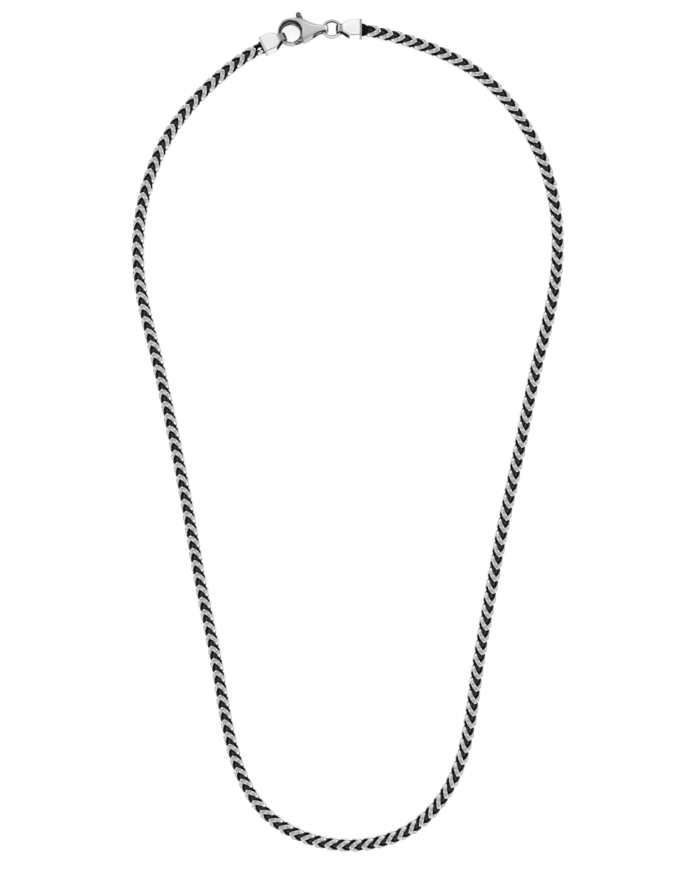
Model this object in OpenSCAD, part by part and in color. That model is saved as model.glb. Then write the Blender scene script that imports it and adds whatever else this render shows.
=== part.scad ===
// Fishbone chain necklace, lying flat and fastened.
// Lengths are in millimetres, +Z is up, and the origin is under the middle of the whole loop.

/* [Chain] */
// Width of each side of the square chain
chain_side = 2.8; // [2.5:0.1:2.9]
// Chamfer along each edge of the chain
chain_chamfer = 0.5; // [0.3:0.1:0.7]
// Roll of the chain towards the outside of the loop, in degrees
chain_roll = 18; // [10:1:20]
// Number of cross-sections along the chain
ring_count = 76; // [60:1:80]

/* [End caps] */
// Length of a cap from its open end to the end of its strap
cap_length = 6.5; // [6.3:0.1:6.5]
// Width of a cap across its front plate
cap_width = 4.4; // [4.2:0.1:4.8]
// Depth of a cap from its front plate to its back plate
cap_depth = 3.8; // [3.8:0.1:4]
// Width of the strap that is folded over at the end of a cap
strap_width = 2; // [1.8:0.1:2]
// Depth over the folded strap
strap_depth = 2.8; // [2.8:0.1:3]
// Thickness of the strap
strap_wall = 0.4; // [0.35:0.05:0.4]
// Depth of the hollow that takes the end of the chain
socket_depth = 3; // [2.6:0.1:3]

/* [Jump ring] */
// Radius from the ring's centre to the middle of its wire
ring_radius = 2.16; // [2.14:0.01:2.18]
// Radius of the ring's wire
ring_wire = 0.4; // [0.35:0.01:0.4]

/* [Clasp] */
// Outer radius of the hook
hook_radius = 3.55; // [3.5:0.05:3.6]
// Radius of the hole inside the hook
hole_radius = 2.35; // [2.3:0.05:2.4]
// Thickness of the lever
lever_thick = 0.9; // [0.7:0.1:0.9]
// Width of the slot that the lever turns in
slot_width = 1.1; // [1.1:0.1:1.2]
// Radius of the pin that the lever turns on
pin_radius = 0.28; // [0.24:0.02:0.28]
// Roll of the clasp and the caps towards the outside of the loop, in degrees
clasp_roll = 14; // [10:1:15]

/* [Hidden] */
$fn = 64;
over = 0.5;

// Heights of the middle of the chain where it lies, and of the caps, ring and clasp
rest_z = 1.61;
fastening_z = 2.32;
left_cap_z = 2.6;
ring_z = 2.23;
// Stretch at each end over which the chain rises into its cap: where it begins and ends
rise_from = 4;
rise_to = 20;

// Places of the fastening's pieces, and the way each cap points from its open end
left_cap_at = [-21.45, 96];
left_cap_turn = 25;
right_cap_at = [3.35, 100.5];
right_cap_turn = 180;
ring_at = [-4.1, 100.55];
clasp_at = [-14.25, 99.75];

// Route of the chain's middle line, from inside the left cap round to inside the right one.
// A smooth cubic curve passes close by each point and begins and ends on the first and last.
route = [
    [-19, 97], [-21.5, 96], [-29, 92], [-44, 78], [-52, 59.5], [-53.5, 39], [-48, 19.5],
    [-44, 0.5], [-40, -19.5], [-37, -39], [-32.5, -58.5], [-30, -78.5], [-22.5, -97.5],
    [-2, -105.5], [18.5, -100.5], [29.5, -83], [31.5, -62.5], [35, -43.5], [38.5, -23.5],
    [43, -4], [46.5, 15.5], [52, 34.5], [53, 55], [47, 74], [34, 90.5], [15.5, 98],
    [3.5, 100.5], [1, 100.5]
];
last = len(route) - 1;
guides = concat([2 * route[0] - route[1]], route, [2 * route[last] - route[last - 1]]);

// Point on the cubic curve, counted in spans from the first point of the route
function route_point(u) =
    let (i = min(floor(u), last - 1), t = u - i)
    ((1 - t) ^ 3 * guides[i] + (3 * t ^ 3 - 6 * t ^ 2 + 4) * guides[i + 1]
        + (-3 * t ^ 3 + 3 * t ^ 2 + 3 * t + 1) * guides[i + 2] + t ^ 3 * guides[i + 3]) / 6;

// Table of the length run at each fine step, which spaces the sections evenly
steps_per_span = 12;
fine_steps = last * steps_per_span;
fine = [for (j = [0:fine_steps]) route_point(j / steps_per_span)];
span_at = [
    for (j = 0, run = 0; j <= fine_steps;
        run = run + (j < fine_steps ? norm(fine[j + 1] - fine[j]) : 0), j = j + 1)
    [run, j / steps_per_span]
];
chain_length = span_at[fine_steps][0];

// Share of the rise at a distance from one end, easing in and out
function rise_share(d) =
    let (t = min(1, max(0, (rise_to - d) / (rise_to - rise_from))))
    t * t * (3 - 2 * t);
function chain_height(run) =
    rest_z + (left_cap_z - rest_z) * rise_share(run)
        + (fastening_z - rest_z) * rise_share(chain_length - run);
function chain_point(run) =
    let (p = route_point(lookup(run, span_at)))
    [p[0], p[1], chain_height(run)];

// Corners of the square section, each edge chamfered: across the chain and up
half_side = chain_side / 2;
flat_half = half_side - chain_chamfer;
section = [
    [half_side, -flat_half], [half_side, flat_half], [flat_half, half_side],
    [-flat_half, half_side], [-half_side, flat_half], [-half_side, -flat_half],
    [-flat_half, -half_side], [flat_half, -half_side]
];
sides = len(section);

// One ring of corners, rolled towards the outside of the loop
function ring_corners(run) =
    let (
        ahead = chain_point(min(run + 0.1, chain_length)),
        behind = chain_point(max(run - 0.1, 0)),
        along = (ahead - behind) / norm(ahead - behind),
        out = [along[1], -along[0], 0] / norm([along[1], -along[0]]),
        up = cross(out, along),
        across = cos(chain_roll) * out - sin(chain_roll) * up,
        face = cos(chain_roll) * up + sin(chain_roll) * out
    )
    [for (c = section) chain_point(run) + c[0] * across + c[1] * face];

tube_points = [
    for (i = [0:ring_count - 1])
    for (p = ring_corners(chain_length * i / (ring_count - 1))) p
];
tube_faces = concat(
    [[for (k = [0:sides - 1]) sides - 1 - k]],
    [for (i = [0:ring_count - 2]) for (k = [0:sides - 1])
        [i * sides + k, i * sides + (k + 1) % sides, (i + 1) * sides + (k + 1) % sides]],
    [for (i = [0:ring_count - 2]) for (k = [0:sides - 1])
        [i * sides + k, (i + 1) * sides + (k + 1) % sides, (i + 1) * sides + k]],
    [[for (k = [0:sides - 1]) (ring_count - 1) * sides + k]]
);

// The whole string of interlocked links, as the solid that it fills
module chain() {
    color([0.42, 0.42, 0.43])
        polyhedron(points = tube_points, faces = tube_faces, convexity = 10);
}

// Places along a cap, from its open end
shoulder_start = 2.9;
shoulder_end = 4.8;
eye_start = 3.6;
plate_wall = 0.45;
edge_chamfer = 0.25;
socket_width = 3.8;
socket_height = 3.2;
strap_turn = cap_length - strap_depth / 2;
eye_radius = strap_depth / 2 - strap_wall;

// Front view of a cap: a box that narrows at two shoulders to its strap
module cap_plan() {
    polygon([
        [0, -cap_width / 2], [shoulder_start, -cap_width / 2], [shoulder_end, -strap_width / 2],
        [cap_length, -strap_width / 2], [cap_length, strap_width / 2],
        [shoulder_end, strap_width / 2], [shoulder_start, cap_width / 2], [0, cap_width / 2]
    ]);
}

// Side view of a cap: the plates close in on the strap, which is folded round
module cap_side() {
    polygon([
        [0, -cap_depth / 2], [shoulder_start, -cap_depth / 2],
        [shoulder_end, -strap_depth / 2], [strap_turn, -strap_depth / 2],
        [strap_turn, strap_depth / 2], [shoulder_end, strap_depth / 2],
        [shoulder_start, cap_depth / 2], [0, cap_depth / 2]
    ]);
    translate([strap_turn, 0]) circle(r = strap_depth / 2);
}

// Side view of the eye between the plates and inside the fold
module cap_eye() {
    polygon([
        [eye_start, -cap_depth / 2 + 2 * plate_wall], [strap_turn, -eye_radius],
        [strap_turn, eye_radius], [eye_start, cap_depth / 2 - 2 * plate_wall]
    ]);
    translate([strap_turn, 0]) circle(r = eye_radius);
}

// End view of a cap, with its four long edges broken
module cap_end() {
    w = cap_width / 2;
    d = cap_depth / 2;
    c = edge_chamfer;
    polygon([
        [w, -d + c], [w, d - c], [w - c, d], [-w + c, d],
        [-w, d - c], [-w, -d + c], [-w + c, -d], [w - c, -d]
    ]);
}

// A cap along +X from its open end, its front plate facing +Z
module end_cap() {
    difference() {
        intersection() {
            linear_extrude(cap_depth + over, center = true) cap_plan();
            rotate([90, 0, 0]) linear_extrude(cap_width + over, center = true) cap_side();
            rotate([90, 0, 90]) linear_extrude(cap_length) cap_end();
        }
        translate([-over, -socket_width / 2, -socket_height / 2])
            cube([socket_depth + over, socket_width, socket_height]);
        rotate([90, 0, 0]) linear_extrude(cap_width + over, center = true) cap_eye();
    }
}

module end_cap_left() {
    color([0.86, 0.86, 0.87])
        translate([left_cap_at[0], left_cap_at[1], left_cap_z])
        rotate([0, 0, left_cap_turn]) rotate([-clasp_roll, 0, 0]) end_cap();
}

module end_cap_right() {
    color([0.86, 0.86, 0.87])
        translate([right_cap_at[0], right_cap_at[1], fastening_z])
        rotate([0, 0, right_cap_turn]) rotate([clasp_roll, 0, 0]) end_cap();
}

// A soldered ring through the clasp's eye and the right cap's eye, rolled as they are
module jump_ring() {
    color([0.8, 0.8, 0.81])
        translate([ring_at[0], ring_at[1], ring_z]) rotate([-clasp_roll, 0, 0])
        rotate_extrude() translate([ring_radius, 0]) circle(r = ring_wire);
}

// The clasp lies along +X from its hook to its eye, measured from the hook's centre.
// Sections of the clasp: distance along X, upper edge, lower edge, half of its depth
clasp_rows = [
    [-3.7, 3.55, -3.55, 0.65],
    [-2.4, 3.55, -3.55, 0.68],
    [-1.2, 3.55, -3.55, 0.85],
    [0.0, 3.55, -3.50, 1.08],
    [1.5, 3.52, -3.20, 1.32],
    [3.2, 3.08, -2.75, 1.50],
    [4.4, 2.45, -2.12, 1.50],
    [5.6, 1.98, -1.30, 1.40],
    [6.8, 1.74, -0.45, 1.28],
    [8.0, 1.65, -0.10, 1.25],
    [9.3, 1.62, -0.08, 1.25]
];
TOP = 1;
BOTTOM = 2;
DEPTH = 3;
row_last = len(clasp_rows) - 1;
clasp_end = 9.3;
bail_radius = 1.25;
bail_eye_radius = 0.8;
bail_eye_start = 6.4;
hole_at = [-0.15, -0.35];
pivot_at = [3.45, -1.55];
outline_steps = 40;

// Smooth value of one column of the table at a distance x along the clasp
function row_of(x) = len([for (r = clasp_rows) if (r[0] <= x) 1]) - 1;
function slope(i, column) =
    let (a = clasp_rows[max(0, i - 1)], b = clasp_rows[min(row_last, i + 1)])
    (b[column] - a[column]) / (b[0] - a[0]);
function clasp_value(x, column) =
    let (
        i = max(0, min(row_last - 1, row_of(x))),
        a = clasp_rows[i], b = clasp_rows[i + 1], w = b[0] - a[0],
        t = min(1, max(0, (x - a[0]) / w))
    )
    (2 * t ^ 3 - 3 * t ^ 2 + 1) * a[column] + (t ^ 3 - 2 * t ^ 2 + t) * w * slope(i, column)
        + (3 * t ^ 2 - 2 * t ^ 3) * b[column] + (t ^ 3 - t ^ 2) * w * slope(i + 1, column);

// Closed outline between two columns, from x0 to x1
function band(x0, x1, upper, lower, lower_sign) = concat(
    [for (j = [0:outline_steps])
        let (x = x0 + (x1 - x0) * j / outline_steps) [x, lower_sign * clasp_value(x, lower)]],
    [for (j = [outline_steps:-1:0])
        let (x = x0 + (x1 - x0) * j / outline_steps) [x, clasp_value(x, upper)]]
);

// Mouth of the hook, between its slanting tip and the corner of the shank
mouth = [
    [-0.2, -2.2], [0.03, -2.55], [0.85, -3.42], [1.1, -4.5], [3.2, -4.5],
    [3.08, -2.75], [2.78, -2.1], [2.72, -1.4], [2.8, -0.6], [0, -0.6]
];

// Part of a disc round the pivot between two angles, which must span under 180 degrees
module sector(radius, from_angle, to_angle) {
    middle = (from_angle + to_angle) / 2;
    reach = 2 * radius;
    intersection() {
        circle(r = radius);
        polygon([
            [0, 0], reach * [cos(from_angle), sin(from_angle)],
            reach * [cos(middle), sin(middle)], reach * [cos(to_angle), sin(to_angle)]
        ]);
    }
}

// Slot for the lever's thumb piece, for its arc, for the root of its gate, and round its boss
arc_reach = 5.2;
slot_gap = 0.12;
boss_radius = 0.6;
gate_root = 1.75;
thumb_sweep = [61, 117];
arc_sweep = [110, 140];
gate_sweep = [136, 250];
module slot_plan() {
    translate(pivot_at) {
        sector(3 * hook_radius, thumb_sweep[0], thumb_sweep[1]);
        sector(arc_reach + slot_gap, arc_sweep[0], arc_sweep[1]);
        sector(gate_root, gate_sweep[0], gate_sweep[1]);
        circle(r = boss_radius + slot_gap);
    }
}

// Bevel round the hole, on one face
bevel_from = 0.35;
bevel_height = 1.3;
bevel_width = 0.85;
module hole_bevel() {
    translate([hole_at[0], hole_at[1], bevel_from])
        cylinder(r1 = hole_radius, r2 = hole_radius + bevel_width, h = bevel_height);
}

// Front view of the hook, shank and bail
module clasp_plan() {
    difference() {
        union() {
            circle(r = hook_radius);
            polygon(band(0, clasp_end, TOP, BOTTOM, 1));
        }
        translate(hole_at) circle(r = hole_radius);
        polygon(mouth);
    }
}

// Side view: the clasp is deepest at its shank and ends in a round bail
module clasp_side() {
    bail_at = clasp_end - bail_radius;
    polygon(band(-hook_radius - over / 5, bail_at, DEPTH, DEPTH, -1));
    translate([bail_at, 0]) circle(r = bail_radius);
}

// Side view of the bail's long eye
module bail_eye() {
    bail_at = clasp_end - bail_radius;
    translate([bail_eye_start, 0]) circle(r = bail_eye_radius);
    translate([bail_at, 0]) circle(r = bail_eye_radius);
    translate([bail_eye_start, -bail_eye_radius])
        square([bail_at - bail_eye_start, 2 * bail_eye_radius]);
}

module in_clasp_place() {
    translate([clasp_at[0], clasp_at[1], fastening_z]) rotate([-clasp_roll, 0, 0]) children();
}

// Hook, shank, bail and the riveted pin, one solid, slotted for the lever
module clasp_body() {
    deep = 4;
    tall = 9;
    color([0.74, 0.74, 0.75]) in_clasp_place() {
        difference() {
            intersection() {
                linear_extrude(deep, center = true) clasp_plan();
                rotate([90, 0, 0]) linear_extrude(tall, center = true) clasp_side();
            }
            rotate([90, 0, 0]) linear_extrude(tall, center = true) bail_eye();
            linear_extrude(slot_width, center = true) slot_plan();
            hole_bevel();
            mirror([0, 0, 1]) hole_bevel();
        }
        translate([pivot_at[0], pivot_at[1], -slot_width / 2 - over])
            cylinder(r = pin_radius, h = slot_width + 2 * over);
    }
}

// Outlines of the thumb piece, and of the gate with the web that joins it to the arc
thumb = [[1.15, 1.6], [2.3, 1.0], [2.9, 1.9], [3.1, 3.1], [2.38, 4.62], [1.12, 4.62]];
thumb_tip_at = [1.75, 4.62];
thumb_tip_radius = 0.63;
gate = [
    [3.52, -0.96], [2.85, 0.3], [2.5, 0.3], [2.0, -0.2], [1.9, -1.3], [0.7, -2.42],
    [1.38, -3.27], [2.3, -2.98], [2.88, -2.52], [3.2, -2.1]
];
arc_inner = 2.38;
arc_outer = 3.0;
arc_from = -50;
arc_to = 95;
pin_gap = 0.05;

// Gate, arc and thumb piece, one flat solid that turns on the pin
module clasp_lever() {
    color([0.4, 0.4, 0.42]) in_clasp_place()
        translate([0, 0, -lever_thick / 2]) difference() {
            linear_extrude(lever_thick) {
                difference() {
                    union() {
                        intersection() {
                            translate(hole_at) sector(arc_outer, arc_from, arc_to);
                            translate(pivot_at) circle(r = arc_reach);
                        }
                        polygon(thumb);
                        polygon(gate);
                    }
                    translate(hole_at) circle(r = arc_inner);
                }
                translate(thumb_tip_at) circle(r = thumb_tip_radius);
                translate(pivot_at) circle(r = boss_radius);
            }
            translate([pivot_at[0], pivot_at[1], -over])
                cylinder(r = pin_radius + pin_gap, h = lever_thick + 2 * over);
        }
}

chain();
end_cap_left();
end_cap_right();
jump_ring();
clasp_body();
clasp_lever();
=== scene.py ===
import bmesh
import bpy
import numpy as np
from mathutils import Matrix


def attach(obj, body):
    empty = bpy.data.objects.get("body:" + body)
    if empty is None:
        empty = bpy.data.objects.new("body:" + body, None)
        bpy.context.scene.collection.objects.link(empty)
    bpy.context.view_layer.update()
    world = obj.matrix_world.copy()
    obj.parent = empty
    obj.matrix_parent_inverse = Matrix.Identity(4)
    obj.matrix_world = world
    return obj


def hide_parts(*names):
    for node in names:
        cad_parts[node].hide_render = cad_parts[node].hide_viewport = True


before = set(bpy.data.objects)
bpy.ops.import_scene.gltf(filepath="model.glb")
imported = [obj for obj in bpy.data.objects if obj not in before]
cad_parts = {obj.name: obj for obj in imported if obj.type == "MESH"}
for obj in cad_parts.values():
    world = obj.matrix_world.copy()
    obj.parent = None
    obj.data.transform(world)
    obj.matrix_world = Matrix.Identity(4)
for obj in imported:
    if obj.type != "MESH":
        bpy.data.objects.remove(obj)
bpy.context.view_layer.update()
print("solid model loaded:", len(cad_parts), "pieces")

millimetre = 0.001


# Shader helpers

def setStops(ramp, stops):
    # Gives a colour ramp its stops, each a place from 0 to 1 and a colour
    elements = ramp.color_ramp.elements
    while len(elements) < len(stops):
        elements.new(1)
    for element, (place, colour) in zip(elements, stops):
        element.position = place
        element.color = (*colour, 1)


def greys(pairs, start=0.0, span=1.0):
    # Stops from pairs of a place and a brightness: start becomes 0 and start + span becomes 1
    return [((place - start) / span, (light, light, light)) for place, light in pairs]


class Sock:
    # A socket with arithmetic: an expression on sockets and numbers adds the Math nodes it needs
    def __init__(self, shader, socket):
        self.shader = shader
        self.socket = socket

    def math(self, operation, first, second):
        return self.shader.node("ShaderNodeMath", {"operation": operation}, {0: first, 1: second})

    def __add__(self, other):
        return self.math("ADD", self, other)

    def __sub__(self, other):
        return self.math("SUBTRACT", self, other)

    def __rsub__(self, other):
        return self.math("SUBTRACT", other, self)

    def __mul__(self, other):
        return self.math("MULTIPLY", self, other)

    def __truediv__(self, other):
        return self.math("DIVIDE", self, other)

    def __pow__(self, other):
        return self.math("POWER", self, other)

    __radd__ = __add__
    __rmul__ = __mul__

    def clamp(self):
        return self.shader.node("ShaderNodeClamp", {}, {"Value": self})

    def rise(self, width):
        # 0 where the value is below 0, 1 where it is past the width, and even between the two
        return (self / width).clamp()


rimTint = (0.5, 0.5, 0.5, 1)  # how bright the metal is where it is seen edge on


class Shader:
    # One material's node tree. node() takes a type, its settings, and the values or links of its sockets
    def __init__(self, name, preview):
        self.material = bpy.data.materials.new(name)
        self.material.use_nodes = True
        self.material.diffuse_color = (*preview, 1)
        self.tree = self.material.node_tree
        self.surface = self.tree.nodes["Principled BSDF"]
        self.coordinates = self.node("ShaderNodeTexCoord", {}, {}, "Object")

    def connect(self, node, inputs):
        for key, value in inputs.items():
            target = node.inputs[key]
            if isinstance(value, Sock):
                self.tree.links.new(value.socket, target)
            else:
                target.default_value = value

    def node(self, kind, settings, inputs, output=0):
        made = self.tree.nodes.new(kind)
        for key, value in settings.items():
            if key == "stops":
                setStops(made, value)
            else:
                setattr(made, key, value)
        self.connect(made, inputs)
        return Sock(self, made.outputs[output])

    def noise(self, scale, detail):
        return self.node("ShaderNodeTexNoise", {},
                         {"Vector": self.coordinates, "Scale": scale, "Detail": detail})

    def uneven(self, scale, amount):
        # Noise about 0, from half the amount below it to half above
        return (self.noise(scale, 2.0) - 0.5) * amount

    def placed(self, place, roll, turn):
        # Object coordinates as seen from a frame at that place, rolled about X and turned about Z
        angles = (np.radians(roll), 0, np.radians(turn))
        return self.node("ShaderNodeMapping", {"vector_type": "TEXTURE"},
                         {"Vector": self.coordinates, "Location": place, "Rotation": angles})

    def axis(self, vector, name):
        return self.node("ShaderNodeSeparateXYZ", {}, {0: vector}, name)

    def attribute(self, name):
        return self.node("ShaderNodeAttribute", {"attribute_name": name}, {}, "Fac")

    def ramp(self, value, stops):
        return self.node("ShaderNodeValToRGB", {"stops": stops}, {"Fac": value})

    def mix(self, share, first, second):
        return self.node("ShaderNodeMix", {"data_type": "RGBA"}, {0: share, 6: first, 7: second}, 2)

    def scratches(self, scale, detail, depth, strength):
        # A normal that is bent by noise of that depth
        return self.node("ShaderNodeBump", {},
                         {"Height": self.noise(scale, detail), "Distance": depth, "Strength": strength})

    def finish(self, **sockets):
        sockets.setdefault("Specular_Tint", rimTint)
        self.connect(self.surface, {key.replace("_", " "): value for key, value in sockets.items()})
        return self.material


# Silver of the links: bright on their outer faces, blackened where they lie deep.
# The attribute wear is 1 on the outer faces and falls to 0 on the hidden ones.
linkFinishAndPaintedReflection = {
    "bright": (0.8, 0.8, 0.805, 1),      # bare metal on the shoulders of an arm, painted lighter than its flat as a highlight
    "paintedFlatReflection": (0.52, 0.52, 0.53, 1),       # bare metal on its flat, painted darker as a reflection of the dim room overhead
    "black": (0.009, 0.009, 0.01, 1),
    "metalAt": [(0.12, 0.0), (0.42, 0.1), (0.6, 1.0)],   # how bare the metal is, by wear
    "flatAt": [(0.8, 0.0), (0.93, 1.0)],                 # how far it has the flat's painted reflection tone, by wear
    "frayed": (2600.0, 0.2),             # noise of the black's edge: scale and amount
    "cloudy": (900.0, 0.5),              # noise of the brightness: scale and amount
    "scratches": (5200.0, 2.0, 0.00002, 0.25),           # noise: scale, detail, depth, strength
    "polish": 0.28,                      # roughness of bare metal
    "blackMetal": 0.5,                         # roughness of black metal
}


def linkMaterial():
    # Colour and metal go from the black to the bare silver as wear rises through its stops
    s = Shader("oxidisedSilver", (0.6, 0.6, 0.6))
    wear = s.attribute("wear")
    bare = s.ramp((wear + s.uneven(*linkFinishAndPaintedReflection["frayed"])).clamp(), greys(linkFinishAndPaintedReflection["metalAt"]))
    # The flat of a bare arm is painted darker than its shoulders: a painted reflection beside painted
    # highlights
    flat = s.ramp(wear, greys(linkFinishAndPaintedReflection["flatAt"]))
    tone = s.mix((flat + s.uneven(*linkFinishAndPaintedReflection["cloudy"])).clamp(), linkFinishAndPaintedReflection["bright"], linkFinishAndPaintedReflection["paintedFlatReflection"])
    return s.finish(Base_Color=s.mix(bare, linkFinishAndPaintedReflection["black"], tone), Metallic=bare,
                    Specular_IOR_Level=0.0,
                    Roughness=bare * (linkFinishAndPaintedReflection["polish"] - linkFinishAndPaintedReflection["blackMetal"]) + linkFinishAndPaintedReflection["blackMetal"],
                    Normal=s.scratches(*linkFinishAndPaintedReflection["scratches"]))


# Where the fastening's pieces lie: place, and degrees of roll about X and of turn about Z
fasteningPlaces = {
    "leftCap": ((-0.02145, 0.096, 0.0026), -14, 25),
    "rightCap": ((0.00335, 0.1005, 0.00232), 14, 180),
    "ring": ((-0.0041, 0.10055, 0.00223), 0, 0),
    "clasp": ((-0.01425, 0.09975, 0.00232), -14, 0),
}

capFinishAndPaintedLight = {
    # Painted light and shade along each cap: distance from its open end, in millimetres, and how bright
    "leftCap": [(0.0, 0.5), (0.4, 0.64), (0.5, 0.3), (0.58, 0.84), (4.2, 0.82), (4.9, 0.22),
                (6.0, 0.2), (6.2, 0.04)],
    "rightCap": [(0.0, 0.24), (0.4, 0.32), (0.46, 0.2), (0.6, 0.88), (4.6, 0.86), (4.95, 0.28),
                 (5.6, 0.3), (5.75, 0.85), (6.2, 0.75), (6.35, 0.1)],
    "bandsLength": 0.0066,           # length that the bands are laid out over
    "bandShift": (700.0, 0.0002),    # noise of the bands' places: scale and amount
    "clouds": (500.0, 3.0),          # scale and detail
    "cloudShare": 0.25,
    "cloudColour": (0.75, 0.75, 0.75, 1),
    # Colour of the painted shade in the gap between the plates
    "paintedShadeColour": (0.02, 0.02, 0.022, 1),
    "gapShadeFrom": 0.003,            # the painted shade between the plates begins here, from the open end
    "gapShadeHeight": 0.0012,         # and reaches this far above and below the cap's middle plane
    "gapShadeSpread": 2.5e-7,         # its upper and lower edges fade over this, in square metres
    "blur": 0.000125,                # width that the other borders fade over
    # The plate's outline is painted shade: a thin dark line, painted darker still on the upper side
    "edge": (0.4, 0.4, 0.41, 1),     # the thin line round each plate,
    "paintedShadeTopEdge": (0.06, 0.06, 0.062, 1),   # which is darker on the upper side
    "edgeSpread": 0.00012,           # half width of that line
    "upperSide": {"leftCap": 1, "rightCap": -1},    # 1 where the cap's own Y looks to the upper side
    "halfWidth": 0.0022,             # half width of a plate,
    "strapHalf": 0.001,              # and of the strap that it narrows to,
    "narrowFrom": 0.0029,            # from this distance from the open end on,
    "narrowLength": 0.0019,          # over this length
    "scratches": (2600.0, 3.0, 0.00002, 0.35),
    "polish": 0.45,                  # roughness, which the clouds change by the range
    "polishRange": 0.1,
    "metal": 0.5,
    # The caps glow a little though they are no lamp: painted light
    "paintedGlow": 0.12,
}


def capMaterial(name):
    # Painted light and shade follow the bands along the cap, and painted shade darkens the tip between the
    # plates.
    # A painted shade line lies just inside the outline, darker on the upper side: its share is 1 - d^2,
    # where d is the distance from the line's middle over its half width
    look = capFinishAndPaintedLight
    s = Shader(name + "Silver", (0.85, 0.85, 0.86))
    local = s.placed(*fasteningPlaces[name])
    along = s.axis(local, "X")
    side = s.axis(local, "Y")
    height = s.axis(local, "Z")
    # Bands of painted light and shade along the cap
    bands = greys(look[name], span=look["bandsLength"] / millimetre)
    tone = s.ramp((along + s.uneven(*look["bandShift"])) / look["bandsLength"], bands)
    cloud = s.noise(*look["clouds"])
    tone = s.mix((cloud * look["cloudShare"]).clamp(), tone, look["cloudColour"])
    # Painted shade: the tip is dark between the plates, where the gap is in shadow
    tip = (along - look["gapShadeFrom"]).rise(look["blur"])
    inside = (look["gapShadeHeight"] ** 2 - height * height).rise(look["gapShadeSpread"])
    tone = s.mix(tip * inside, tone, look["paintedShadeColour"])
    narrow = (along - look["narrowFrom"]).rise(look["narrowLength"])
    outline = narrow * (look["strapHalf"] - look["halfWidth"]) + look["halfWidth"]
    away = ((side * side) ** 0.5 - outline) / look["edgeSpread"] + 1
    # Painted shade: the outline line is darker on the cap's upper side
    upper = (side * (look["upperSide"][name] / look["blur"]) + 0.5).clamp()
    line = s.mix(upper, look["edge"], look["paintedShadeTopEdge"])
    tone = s.mix((1 - away * away).clamp(), tone, line)
    # The glow is painted light in the colour of the bands
    return s.finish(Base_Color=tone, Metallic=look["metal"], Emission_Color=tone,
                    Emission_Strength=look["paintedGlow"],
                    Roughness=(cloud - 0.5) * look["polishRange"] + look["polish"],
                    Normal=s.scratches(*look["scratches"]))


ringFinishAndPaintedShade = {
    # Painted light and shade by the distance from the ring's middle, in millimetres: painted shade at the
    # inner and outer sides, a painted highlight between
    "bands": [(1.76, 0.03), (1.86, 0.06), (1.95, 0.5), (2.02, 0.9), (2.32, 0.85), (2.41, 0.55),
              (2.48, 0.3), (2.56, 0.12)],
    "bandsFrom": 1.6,                 # the bands are laid out over a millimetre from here on
    "bandShift": (1500.0, 0.0001),    # noise of the bands' places: scale and amount
    "bandLift": 0.015,                # how much wider the painted shade grows towards the upper side
    # Painted shade: the ring is darker towards its upper side
    "shade": 110.0,                   # how much duller the ring is for each metre further up,
    "middleShade": 0.16,              # and at its middle
    "paintedShadeColour": (0.02, 0.02, 0.02, 1),
    "scratches": (3800.0, 2.0, 0.000012, 0.4),
    "polish": 0.18,
}


def ringMaterial():
    # Polished silver with painted shade at its inner and outer sides: the inner is the wider, and the ring
    # is painted darker towards its upper side
    look = ringFinishAndPaintedShade
    s = Shader("polishedRing", (0.84, 0.84, 0.845))
    local = s.placed(*fasteningPlaces["ring"])
    x = s.axis(local, "X")
    y = s.axis(local, "Y")
    reach = (x * x + y * y) ** 0.5 + s.uneven(*look["bandShift"]) - y * look["bandLift"]
    tone = s.ramp(reach / millimetre - look["bandsFrom"], greys(look["bands"], look["bandsFrom"]))
    tone = s.mix((y * look["shade"] + look["middleShade"]).clamp(), tone, look["paintedShadeColour"])
    return s.finish(Base_Color=tone, Metallic=1.0, Roughness=look["polish"],
                    Normal=s.scratches(*look["scratches"]))


# Outline of the clasp, in millimetres from its hook's middle: along, upper edge, lower edge
claspRows = np.array([
    (-3.7, 3.55, -3.55), (0.0, 3.55, -3.50), (1.5, 3.52, -3.20), (3.2, 3.08, -2.75),
    (4.4, 2.45, -2.12), (5.6, 1.98, -1.30), (6.8, 1.74, -0.45), (8.0, 1.65, -0.10),
    (9.3, 1.62, -0.08),
])

claspFinishAndPaintedShade = {
    "bright": (0.95, 0.95, 0.955, 1),
    "dull": (0.75, 0.75, 0.76, 1),
    "clouds": (420.0, 3.0),
    # Painted light and shade across the clasp, from -1 at its lower edge to 1 at its upper
    "across": [(-1.0, 0.75), (-0.78, 0.48), (-0.48, 0.72), (-0.2, 0.95), (0.3, 1.0), (0.55, 0.85),
               (0.78, 0.46), (0.88, 0.48), (1.0, 0.55)],
    "edgeShade": (0.02, 0.02, 0.02, 1),
    # Painted shade round the hook's hole, with a thin painted highlight in it, by the distance from the
    # hole's middle, in millimetres
    "holeShadeAt": [(2.0, 0.015), (2.22, 0.02), (2.3, 0.22), (2.4, 0.2), (2.48, 0.02), (2.86, 0.04),
                 (3.1, 1.0)],
    "holeShadeFrom": 2.0,                  # these are laid out from here,
    "holeShadeSpan": 2.0,                  # over this, in millimetres
    "holeShadeShift": (1500.0, 0.0003),    # noise of the painted shade's edges: scale and amount
    "holeShadeLift": 0.1,                  # how much wider it grows towards the upper side
    # Colour of the painted shade round the hole and in the hollow
    "paintedShadeTone": (0.015, 0.015, 0.016, 1),
    "holeAt": (-0.00022, -0.00035),
    "hollowAt": (0.0087, -0.0041),      # middle of the dark hollow along the shank's lower edge,
    "hollowReach": 0.00435,             # how far it reaches from there,
    "hollowFrom": 0.0052,               # and where it begins and ends along the shank
    "hollowTo": 0.0088,
    "hollowBlur": 0.00011,              # width that its round border fades over,
    "hollowFade": 0.00033,              # and length that its two ends fade over
    "scratches": (3200.0, 2.0, 0.000012, 0.4),
    "polish": 0.3,                      # roughness, which the clouds change by the range
    "polishRange": 0.1,
}


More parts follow.
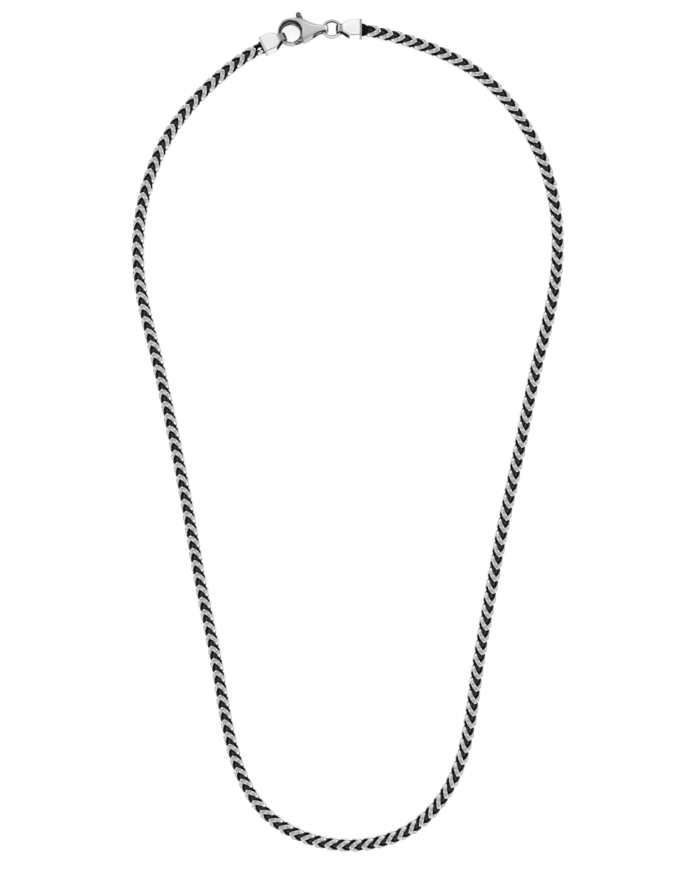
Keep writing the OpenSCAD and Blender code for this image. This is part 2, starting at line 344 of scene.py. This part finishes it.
def claspMaterial():
    # Satin silver with painted shade towards its edges: the painted brightness depends on the share of the
    # way from the lower edge to the upper. Painted shade with a thin painted highlight lies round the
    # hook's hole, and painted shade in the shank's hollow
    look = claspFinishAndPaintedShade
    s = Shader("satinClasp", (0.74, 0.74, 0.75))
    local = s.placed(*fasteningPlaces["clasp"])
    x = s.axis(local, "X")
    y = s.axis(local, "Y")
    start, end = claspRows[0, 0], claspRows[-1, 0]
    tallest = 8.0    # every edge lies within half of this from the middle line, in millimetres

    def distance(place):
        dx = x - place[0]
        dy = y - place[1]
        return (dx * dx + dy * dy) ** 0.5

    def edgeHeight(column):
        # The outline's height at each x, in millimetres
        pairs = [(row[0], row[column] / tallest + 0.5) for row in claspRows.tolist()]
        place = (x - start * millimetre) / ((end - start) * millimetre)
        return (s.ramp(place, greys(pairs, start, end - start)) - 0.5) * tallest

    cloud = s.noise(*look["clouds"])
    tone = s.mix(cloud, look["bright"], look["dull"])
    top = edgeHeight(1)
    bottom = edgeHeight(2)
    # Painted light and shade by the share of the way from the lower edge to the upper
    across = (y * (2 / millimetre) - top - bottom) / (top - bottom)
    shade = s.ramp(across * 0.5 + 0.5, greys(look["across"], -1.0, 2.0))
    tone = s.mix(shade, look["edgeShade"], tone)
    # Painted shade and a thin painted highlight round the hook's hole
    reach = distance(look["holeAt"]) + s.uneven(*look["holeShadeShift"]) - y * look["holeShadeLift"]
    bare = s.ramp((reach / millimetre - look["holeShadeFrom"]) / look["holeShadeSpan"],
                  greys(look["holeShadeAt"], look["holeShadeFrom"], look["holeShadeSpan"]))
    tone = s.mix(bare, look["paintedShadeTone"], tone)
    # Painted shade in the shank's hollow along its lower edge
    hollow = (look["hollowReach"] - distance(look["hollowAt"])).rise(look["hollowBlur"])
    begun = (x - look["hollowFrom"]).rise(look["hollowFade"])
    unended = (look["hollowTo"] - x).rise(look["hollowFade"])
    tone = s.mix(hollow * (begun * unended), tone, look["paintedShadeTone"])
    return s.finish(Base_Color=tone, Metallic=1.0,
                    Roughness=(cloud - 0.5) * look["polishRange"] + look["polish"],
                    Normal=s.scratches(*look["scratches"]))


leverFinish = {
    "patches": [(0.36, 0.05), (0.5, 0.16), (0.6, 0.5), (0.72, 0.75)],   # brightness by the cloud's value
    "clouds": (2300.0, 4.0),
    "thumbFrom": 0.003,     # the thumb piece is darker from this height over the hook's middle,
    "thumbFade": 0.0005,    # fully so after this much more,
    "thumbDarkening": 0.6,       # by this share
    "blackMetal": (0.03, 0.03, 0.032, 1),
    "scratches": (2500.0, 3.0, 0.00003, 0.6),
    "polish": 0.3,
}


def leverMaterial():
    # Blackened silver, rubbed bare in small patches where a cloudy noise is high
    look = leverFinish
    s = Shader("blackenedLever", (0.3, 0.3, 0.31))
    tone = s.ramp(s.noise(*look["clouds"]), greys(look["patches"]))
    y = s.axis(s.placed(*fasteningPlaces["clasp"]), "Y")
    thumb = (y - look["thumbFrom"]).rise(look["thumbFade"]) * look["thumbDarkening"]
    return s.finish(Base_Color=s.mix(thumb, tone, look["blackMetal"]), Metallic=1.0,
                    Roughness=look["polish"], Normal=s.scratches(*look["scratches"]))


linkSilver = linkMaterial()
ringSilver = ringMaterial()
leverSilver = leverMaterial()
claspSilver = claspMaterial()
print("materials made")


# Chain: the same route and section as the solid, filled with V-shaped links that nest closely

chainLook = {
    "pitch": 0.00311,        # from one link to the next of the same family
    "firstLink": 0.0006,
    # Distances from the left end, and how far forward the links lie there
    "shiftAt": (0.0, 0.05, 0.19, 0.25, 0.31, 0.43, 0.485),
    "shift": (0.0018, 0.00152, 0.00152, 0.0003, 0.0, -0.0002, -0.0005),
    # Distances from the left end, and the degrees that the chain is rolled outwards there
    "rollAt": (0.0, 0.03, 0.2, 0.25, 0.31, 0.46, 0.485),
    "roll": (17.0, 17.0, 19.0, 27.0, 23.0, 21.0, 18.0),
    "blackTo": 0.00305,       # the chain is black from its left end to here,
    "blackFade": 0.00025,     # bare after this much more,
    "lastLink": 0.004,       # and a link that starts this near its right end is black
    "restHeight": 0.00164,   # height of the middle line where the chain lies on the surface,
    "leftHeight": 0.0026,    # and at its left and right ends,
    "rightHeight": 0.00232,
    "riseFrom": 0.004,       # which it reaches this far from them,
    "riseTo": 0.02,          # and leaves here
    "pointsPerSpan": 24,     # of the route, from one of its guides to the next
    "step": 0.0004,          # the chain's direction is taken between points this far on each side
}

# Guides of the chain's middle line, in millimetres, from the left cap round to the right one
routePoints = np.array([
    (-19, 97), (-21.5, 96), (-29, 92), (-44, 78), (-52, 59.5), (-53.5, 39), (-48, 19.5),
    (-44, 0.5), (-40, -19.5), (-37, -39), (-32.5, -58.5), (-30, -78.5), (-22.5, -97.5),
    (-2, -105.5), (18.5, -100.5), (29.5, -83), (31.5, -62.5), (35, -43.5), (38.5, -23.5),
    (43, -4), (46.5, 15.5), (52, 34.5), (53, 55), (47, 74), (34, 90.5), (15.5, 98),
    (3.5, 100.5), (1, 100.5),
]) * millimetre

# Quarter of a link, in millimetres, from the middle of its outer bow to the middle of its fold:
# out from the chain's middle, to the side, along, half width, half thickness,
# degrees that its flat is turned from outwards to sideways, and how bare its outer face is
faceRows = np.array([
    (1.10, 0.00, -0.59, 0.54, 0.30, 0, 1.0),
    (1.10, 0.42, -0.30, 0.52, 0.30, 3, 1.0),
    (1.00, 0.89, 0.36, 0.46, 0.30, 26, 1.0),
    (0.60, 1.11, 1.02, 0.49, 0.29, 59, 1.0),
    (0.27, 1.15, 1.66, 0.47, 0.27, 78, 0.72),
    (0.00, 1.13, 2.20, 0.44, 0.24, 90, 0.25),
])
sideRows = np.array([
    (0.98, 0.00, 0.95, 0.34, 0.25, 0, 0.8),
    (0.94, 0.36, 1.25, 0.34, 0.25, 10, 0.6),
    (0.70, 0.56, 1.95, 0.62, 0.25, 26, 0.2),
    (0.55, 0.48, 2.90, 0.55, 0.25, 35, 0.0),
    (0.48, 0.62, 4.05, 0.60, 0.24, 65, 0.0),
    (0.00, 0.78, 4.55, 0.76, 0.26, 90, 0.36),
])


def splinePoints(guides, perSpan):
    # Uniform cubic B-spline: at a share t of a span it weighs four guides in turn by (1-t)^3,
    # 3t^3-6t^2+4, -3t^3+3t^2+3t+1 and t^3, all over 6. The outer guides are mirrored, so that it
    # starts and ends on them
    g = np.vstack([2 * guides[0] - guides[1], guides, 2 * guides[-1] - guides[-2]])
    count = len(guides) - 1
    u = np.linspace(0, count, count * perSpan + 1)
    i = np.minimum(u.astype(int), count - 1)
    t = (u - i)[:, None]
    return ((1 - t) ** 3 * g[i] + (3 * t ** 3 - 6 * t ** 2 + 4) * g[i + 1]
            + (-3 * t ** 3 + 3 * t ** 2 + 3 * t + 1) * g[i + 2] + t ** 3 * g[i + 3]) / 6


finePoints = splinePoints(routePoints, chainLook["pointsPerSpan"])
fineRun = np.concatenate([[0], np.cumsum(np.linalg.norm(np.diff(finePoints, axis=0), axis=1))])
chainLength = fineRun[-1]


def riseShare(distance):
    # How far the middle line has risen: 3t^2 - 2t^3, where t goes from 0 beyond the rise to 1 at
    # the chain's end
    t = (chainLook["riseTo"] - distance) / (chainLook["riseTo"] - chainLook["riseFrom"])
    t = np.clip(t, 0, 1)
    return t * t * (3 - 2 * t)


def chainPoint(run):
    # Point of the chain's middle line at each distance run from the left end: its place on the
    # route, and the rest height plus each end's share of its rise
    x = np.interp(run, fineRun, finePoints[:, 0])
    y = np.interp(run, fineRun, finePoints[:, 1])
    low = chainLook["restHeight"]
    z = (low + (chainLook["leftHeight"] - low) * riseShare(run)
         + (chainLook["rightHeight"] - low) * riseShare(chainLength - run))
    return np.stack([x, y, z], axis=-1)


def unit(v):
    # Each vector over its own length
    return v / np.linalg.norm(v, axis=-1, keepdims=True)


def chainFrame(run):
    # Middle point, outward direction across the chain, and the direction its upper face looks in:
    # both are turned by the roll about the direction along the chain. Beyond its ends the chain
    # goes straight on
    step = chainLook["step"]
    near = np.clip(run, step, chainLength - step)
    along = unit(chainPoint(near + step) - chainPoint(near - step))
    middle = chainPoint(near) + (run - near)[..., None] * along
    out = unit(np.stack([along[..., 1], -along[..., 0], np.zeros_like(run)], axis=-1))
    up = np.cross(out, along)
    roll = np.radians(np.interp(run, chainLook["rollAt"], chainLook["roll"]))[..., None]
    return middle, np.cos(roll) * out - np.sin(roll) * up, np.cos(roll) * up + np.sin(roll) * out


def linkRing(quarter):
    # The whole closed link: its quarter mirrored through the fold, turned half round, mirrored back
    far = quarter[::-1] * (-1, 1, 1, 1, 1, -1, 1) + (0, 0, 0, 0, 0, 180, 0)
    turned = quarter * (-1, -1, 1, 1, 1, 1, 1) + (0, 0, 0, 0, 0, 180, 0)
    near = quarter[::-1] * (1, -1, 1, 1, 1, -1, 1)
    return np.vstack([quarter, far[1:], turned[1:], near[1:-1]])


# Corners of the wire's section as shares of its half width and half thickness, from one end of
# the flat outer face round to the other, and how bare each is
wireCorners = np.array([(0.46, 1), (1, 0.5), (0.75, -1), (-0.75, -1), (-1, 0.5), (-0.46, 1)])
wireBare = np.array([1, 0.75, 0, 0, 0.75, 1])


def linkShape(quarter):
    # Wire along the closed link: at each point a six-sided section with a flat on its outer face.
    # A corner is the point + share x half width x sideways + share x half thickness x outwards.
    # Gives the corners and, for each, how bare it is
    ring = linkRing(quarter)
    place = ring[:, :3] * millimetre
    forward = unit(np.roll(place, -1, axis=0) - np.roll(place, 1, axis=0))
    turn = np.radians(ring[:, 5])
    facing = np.stack([np.cos(turn), np.sin(turn), 0 * turn], axis=-1)
    wide = unit(np.cross(forward, facing))
    facing = np.cross(wide, forward)
    halfWidth = (ring[:, 3] * millimetre)[:, None, None]
    halfThickness = (ring[:, 4] * millimetre)[:, None, None]
    corners = (place[:, None] + wireCorners[None, :, :1] * halfWidth * wide[:, None]
               + wireCorners[None, :, 1:] * halfThickness * facing[:, None])
    return corners, ring[:, 6:] * wireBare


def closedQuads(rows, columns):
    # Quads of a grid of points, row by row, joined round both ways: each goes from point (r, c) to
    # (r, c + 1), (r + 1, c + 1) and (r + 1, c)
    r = np.arange(rows)[:, None]
    c = np.arange(columns)[None, :]
    r2 = (r + 1) % rows
    c2 = (c + 1) % columns
    quads = np.stack([r * columns + c, r * columns + c2, r2 * columns + c2, r2 * columns + c], axis=-1)
    return quads.reshape(-1, 4)


def meshPiece(name, points, quads, material):
    # Puts whole arrays of points and quads into a new mesh at the origin
    mesh = bpy.data.meshes.new(name)
    mesh.vertices.add(len(points))
    mesh.vertices.foreach_set("co", np.ascontiguousarray(points, dtype=np.float32).ravel())
    mesh.loops.add(quads.size)
    mesh.loops.foreach_set("vertex_index", np.ascontiguousarray(quads, dtype=np.int32).ravel())
    mesh.polygons.add(len(quads))
    mesh.polygons.foreach_set("loop_start", np.arange(0, quads.size, 4, dtype=np.int32))
    mesh.polygons.foreach_set("use_smooth", np.full(len(quads), True))
    mesh.update(calc_edges=True)
    mesh.materials.append(material)
    piece = bpy.data.objects.new(name, mesh)
    bpy.context.scene.collection.objects.link(piece)
    return piece


def sharpenWire(mesh, sides):
    # The wire's lengthwise edges are its sharp ones: both their ends are the same corner
    ends = np.empty(2 * len(mesh.edges), dtype=np.int32)
    mesh.edges.foreach_get("vertices", ends)
    corner = ends.reshape(-1, 2) % sides
    mesh.edges.foreach_set("use_edge_sharp", corner[:, 0] == corner[:, 1])


def linkFamily(name, quarter, onSides):
    # Every second link of the chain: the link's shape bent along the route, once per pitch. A point
    # is the middle line's + its first measure x outwards + its second x sideways, where outwards is
    # the chain's upper face for one family and its outer side for the other
    shape, bare = linkShape(quarter)
    rings, sides = shape.shape[:2]
    reach = quarter[:, 2].max() * millimetre
    starts = np.arange(chainLook["firstLink"], chainLength - reach, chainLook["pitch"])
    starts = starts + np.interp(starts, chainLook["shiftAt"], chainLook["shift"])
    run = starts[:, None, None] + shape[None, ..., 2]
    middle, across, face = chainFrame(run)
    outwards, sideways = (across, -face) if onSides else (face, across)
    points = middle + shape[None, ..., :1] * outwards + shape[None, ..., 1:2] * sideways
    firstPoints = (np.arange(len(starts)) * rings * sides)[:, None, None]
    quads = (closedQuads(rings, sides)[None] + firstPoints).reshape(-1, 4)
    piece = meshPiece(name, points.reshape(-1, 3), quads, linkSilver)
    sharpenWire(piece.data, sides)
    wear = bare * np.clip((run - chainLook["blackTo"]) / chainLook["blackFade"], 0, 1)
    wear = wear * (starts < chainLength - chainLook["lastLink"])[:, None, None]
    wearValues = piece.data.attributes.new("wear", "FLOAT", "POINT")
    wearValues.data.foreach_set("value", wear.ravel().astype(np.float32))
    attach(piece, "necklace")
    print(name, len(starts), "links,", 2 * len(quads), "triangles")
    return piece


faceLinks = linkFamily("faceLinks", faceRows, False)
sideLinks = linkFamily("sideLinks", sideRows, True)
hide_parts("chain")


# Cast pieces: each is its solid with the edges rounded off

def mergedCopy(nodeName, name, material):
    # The solid's triangles merged into its flat faces, as a new object: points within a micrometre
    # become one, and faces within a degree of flat are joined
    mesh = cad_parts[nodeName].data.copy()
    mesh.name = name
    work = bmesh.new()
    work.from_mesh(mesh)
    bmesh.ops.remove_doubles(work, verts=work.verts, dist=1e-6)
    bmesh.ops.dissolve_limit(work, angle_limit=np.radians(1.0), verts=work.verts, edges=work.edges)
    work.to_mesh(mesh)
    work.free()
    mesh.materials.clear()
    mesh.materials.append(material)
    mesh.polygons.foreach_set("use_smooth", np.full(len(mesh.polygons), True))
    piece = bpy.data.objects.new(name, mesh)
    bpy.context.scene.collection.objects.link(piece)
    return piece


def dress(piece, nodeName, body):
    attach(piece, body)
    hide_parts(nodeName)


def bevelEdges(piece, radius, segments):
    # Rounds each edge where faces turn by more than 40 degrees
    bevel = piece.modifiers.new("roundedEdges", "BEVEL")
    bevel.width = radius
    bevel.segments = segments
    bevel.limit_method = "ANGLE"
    bevel.angle_limit = np.radians(40)
    bevel.harden_normals = True
    bevel.use_clamp_overlap = False


capLook = {"edge": 0.0002, "segments": 2}

for nodeName, name in (("end_cap_left", "leftCap"), ("end_cap_right", "rightCap")):
    cap = mergedCopy(nodeName, name, capMaterial(name))
    bevelEdges(cap, capLook["edge"], capLook["segments"])
    dress(cap, nodeName, "necklace")
print("caps rounded")

claspLook = {
    "grain": 0.00008,      # size of the cells that the casting's surface is rebuilt from
    "melt": 14,            # rounds of smoothing: more makes rounder edges
    "meltShare": 0.5,      # how far each round moves a point
    "dome": 0.5,           # how far the flat faces fall off towards their edges
    "slot": 0.00056,       # half width of the lever's slot, whose walls stay flat
}


def meshPoints(mesh):
    # The mesh's points as an array, a row each
    points = np.empty(3 * len(mesh.vertices), dtype=np.float32)
    mesh.vertices.foreach_get("co", points)
    return points.reshape(-1, 3).astype(float)


def intoClasp(points):
    # The clasp's own x, y and z of points: they are moved to its hook's middle and rolled level
    place, roll, _ = fasteningPlaces["clasp"]
    c, s = np.cos(np.radians(roll)), np.sin(np.radians(roll))
    x, y, z = (points - place).T
    return x, c * y + s * z, c * z - s * y


def outOfClasp(x, y, z):
    # The way back from the clasp's own x, y and z
    place, roll, _ = fasteningPlaces["clasp"]
    c, s = np.cos(np.radians(roll)), np.sin(np.radians(roll))
    return np.stack([x, c * y - s * z, s * y + c * z], axis=-1) + place


def castClasp():
    # The clasp's solid rebuilt in small cells, smoothed so that its edges melt, and then domed:
    # a point at a share v of the half width, and at a height h beyond the slot's wall, sinks by
    # dome h v^4 towards the middle plane
    piece = mergedCopy("clasp_body", "claspBody", claspSilver)
    cells = piece.modifiers.new("cells", "REMESH")
    cells.mode = "VOXEL"
    cells.voxel_size = claspLook["grain"]
    cells.use_smooth_shade = True
    melt = piece.modifiers.new("melt", "SMOOTH")
    melt.factor = claspLook["meltShare"]
    melt.iterations = claspLook["melt"]
    graph = bpy.context.evaluated_depsgraph_get()
    mesh = bpy.data.meshes.new_from_object(piece.evaluated_get(graph))
    piece.modifiers.clear()
    piece.data = mesh
    x, y, z = intoClasp(meshPoints(mesh))
    along, upper, lower = (claspRows * millimetre).T
    top, bottom = np.interp(x, along, upper), np.interp(x, along, lower)
    v = np.clip((2 * y - top - bottom) / (top - bottom), -1, 1)
    over = np.maximum(np.abs(z) - claspLook["slot"], 0)
    z = z - np.sign(z) * over * claspLook["dome"] * v ** 4
    mesh.vertices.foreach_set("co", outOfClasp(x, y, z).astype(np.float32).ravel())
    mesh.polygons.foreach_set("use_smooth", np.full(len(mesh.polygons), True))
    mesh.update()
    dress(piece, "clasp_body", "necklace")
    print("clasp cast:", len(mesh.polygons), "faces")


leverLook = {
    "gateEnd": (0.0016, -0.0022),   # the gate's end is left of the first and below the second,
    "gateTurn": -6.0,               # and is turned on this far, in degrees, to close the hook's mouth
    "edge": 0.00008,
    "segments": 2,
}


def closeGate(mesh):
    # Turns the end of the lever's gate by the angle a about the hook's middle, towards the hook's
    # tip: x becomes x cos a - y sin a, and y becomes x sin a + y cos a
    x, y, z = intoClasp(meshPoints(mesh))
    right, upper = leverLook["gateEnd"]
    turn = np.where((x < right) & (y < upper), np.radians(leverLook["gateTurn"]), 0)
    x, y = np.cos(turn) * x - np.sin(turn) * y, np.sin(turn) * x + np.cos(turn) * y
    mesh.vertices.foreach_set("co", outOfClasp(x, y, z).astype(np.float32).ravel())
    mesh.update()


castClasp()
lever = mergedCopy("clasp_lever", "claspLever", leverSilver)
closeGate(lever.data)
bevelEdges(lever, leverLook["edge"], leverLook["segments"])
dress(lever, "clasp_lever", "lever")
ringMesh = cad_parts["jump_ring"].data
ringMesh.materials.clear()
ringMesh.materials.append(ringSilver)
print("metal parts finished")


# Floor, light and camera

studio = {
    "floorColour": (0.6, 0.6, 0.6, 1),
    "floorGlow": 1.02,          # the floor is a lit table
    "floorRoughness": 0.9,
    "floorHalf": 1.5,           # half of the floor's width
    # Light of the room by its height: 0 at the horizon, 1 straight up
    "air": [(0.0, 0.45), (0.16, 0.5), (0.26, 1.7), (0.46, 1.8), (0.54, 0.85), (0.64, 0.75),
            (0.72, 0.5), (0.82, 0.5), (0.885, 0.95), (1.0, 0.95)],
    "cameraHeight": 0.8,
    "filmSize": 36,             # of the camera, in millimetres
    "pictureHeight": 0.21875,   # length on the surface that the picture's height shows
    "aim": (0.0004, -0.001475),
    "focusHeight": 0.0016,
    "nearest": 0.01,
    "farthest": 10,
}


def makeFloor():
    # One square that is lit from within, so that it stays pale
    s = Shader("paleFloor", (0.9, 0.9, 0.9))
    material = s.finish(Base_Color=studio["floorColour"], Roughness=studio["floorRoughness"],
                        Emission_Color=studio["floorColour"], Emission_Strength=studio["floorGlow"])
    corners = np.array([(-1, -1, 0), (1, -1, 0), (1, 1, 0), (-1, 1, 0)]) * studio["floorHalf"]
    floor = meshPiece("floor", corners, np.array([[0, 1, 2, 3]]), material)


def makeWorld():
    # The room is a dome that is lit in rings: its brightness depends on the height alone
    world = bpy.data.worlds.new("studioAir")
    world.use_nodes = True
    tree = world.node_tree
    place = tree.nodes.new("ShaderNodeTexCoord")
    parts = tree.nodes.new("ShaderNodeSeparateXYZ")
    ramp = tree.nodes.new("ShaderNodeValToRGB")
    setStops(ramp, greys(studio["air"]))
    tree.links.new(place.outputs["Generated"], parts.inputs[0])
    tree.links.new(parts.outputs["Z"], ramp.inputs[0])
    tree.links.new(ramp.outputs[0], tree.nodes["Background"].inputs["Color"])
    bpy.context.scene.world = world


def makeCamera():
    # It looks straight down. Its lens is film size x distance / length shown
    data = bpy.data.cameras.new("camera")
    camera = bpy.data.objects.new("camera", data)
    bpy.context.scene.collection.objects.link(camera)
    camera.location = (*studio["aim"], studio["cameraHeight"])
    distance = studio["cameraHeight"] - studio["focusHeight"]
    data.sensor_width = studio["filmSize"]
    data.lens = studio["filmSize"] * distance / studio["pictureHeight"]
    data.clip_start = studio["nearest"]
    data.clip_end = studio["farthest"]
    bpy.context.scene.camera = camera


makeFloor()
makeWorld()
makeCamera()
bpy.context.scene.view_settings.view_transform = "Standard"
print("studio ready")
